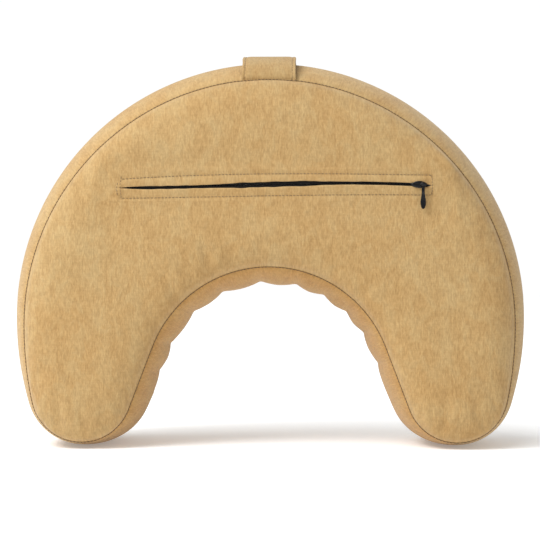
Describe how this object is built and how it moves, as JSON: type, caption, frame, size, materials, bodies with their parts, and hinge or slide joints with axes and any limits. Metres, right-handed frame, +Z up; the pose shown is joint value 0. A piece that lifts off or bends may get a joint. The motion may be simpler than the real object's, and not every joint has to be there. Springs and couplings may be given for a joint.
{
  "type": "lumbar support cushion",
  "caption": "Crescent-shaped filled cushion with a zipped canvas cover, bulging boxing, an arch between its lobes and a carry strap; supports the lower back in a chair.",
  "frame": {"origin": "centre of the footprint, on the floor under the two lobe tips", "axes": "+X across the cushion, towards the zipper's closed-slider end; +Y through its thickness, away from the zipped face; +Z up, towards the carry strap"},
  "size_m": [0.4592, 0.131, 0.3517],
  "materials": {
    "cover_canvas": "matte",
    "gusset_canvas": "matte",
    "strap_canvas": "matte",
    "sewing_thread": "matte",
    "zipper_tape": "matte",
    "zipper_nylon": "satin",
    "slider_enamel": "gloss",
    "case_cotton": "matte",
    "husk_filling": "matte"
  },
  "bodies": {
    "cover": {"cover_front_panel": "cover_canvas", "cover_back_panel": "cover_canvas", "cover_outer_gusset": "gusset_canvas", "cover_inner_gusset": "gusset_canvas", "front_seam_thread": "sewing_thread", "back_seam_thread": "sewing_thread", "zipper_tape_upper": "zipper_tape", "zipper_tape_lower": "zipper_tape", "zipper_coil_upper": "zipper_nylon", "zipper_coil_lower": "zipper_nylon", "zipper_top_stop_upper": "zipper_nylon", "zipper_top_stop_lower": "zipper_nylon", "zipper_bottom_stop": "zipper_nylon", "zipper_slit_stitching": "sewing_thread", "case_front_panel": "case_cotton", "case_back_panel": "case_cotton", "case_outer_gusset": "case_cotton", "case_inner_gusset": "case_cotton", "filling": "husk_filling"},
    "strap": {"carry_strap": "strap_canvas", "carry_strap_stitch_left": "sewing_thread", "carry_strap_stitch_right": "sewing_thread"},
    "slider": {"zipper_slider": "slider_enamel"},
    "pull": {"zipper_pull_tab": "slider_enamel"}
  },
  "joints": [
    {"name": "zipper_travel", "type": "slide", "parent": "cover", "child": "slider", "axis": [-1, 0, 0], "range_m": [0, 0.25]},
    {"name": "pull_swing", "type": "hinge", "parent": "slider", "child": "pull", "pos_m": [0.1338, -0.06377, 0.231], "axis": [-1, 0, 0], "range_deg": [0, 175]},
    {"name": "strap_lift", "type": "slide", "parent": "cover", "child": "strap", "axis": [0, 0, 1], "range_m": [-0.0037, 0.015], "stiffness_N_per_m": 80, "deforming": ["carry_strap", "carry_strap_stitch_left", "carry_strap_stitch_right"]}
  ]
}
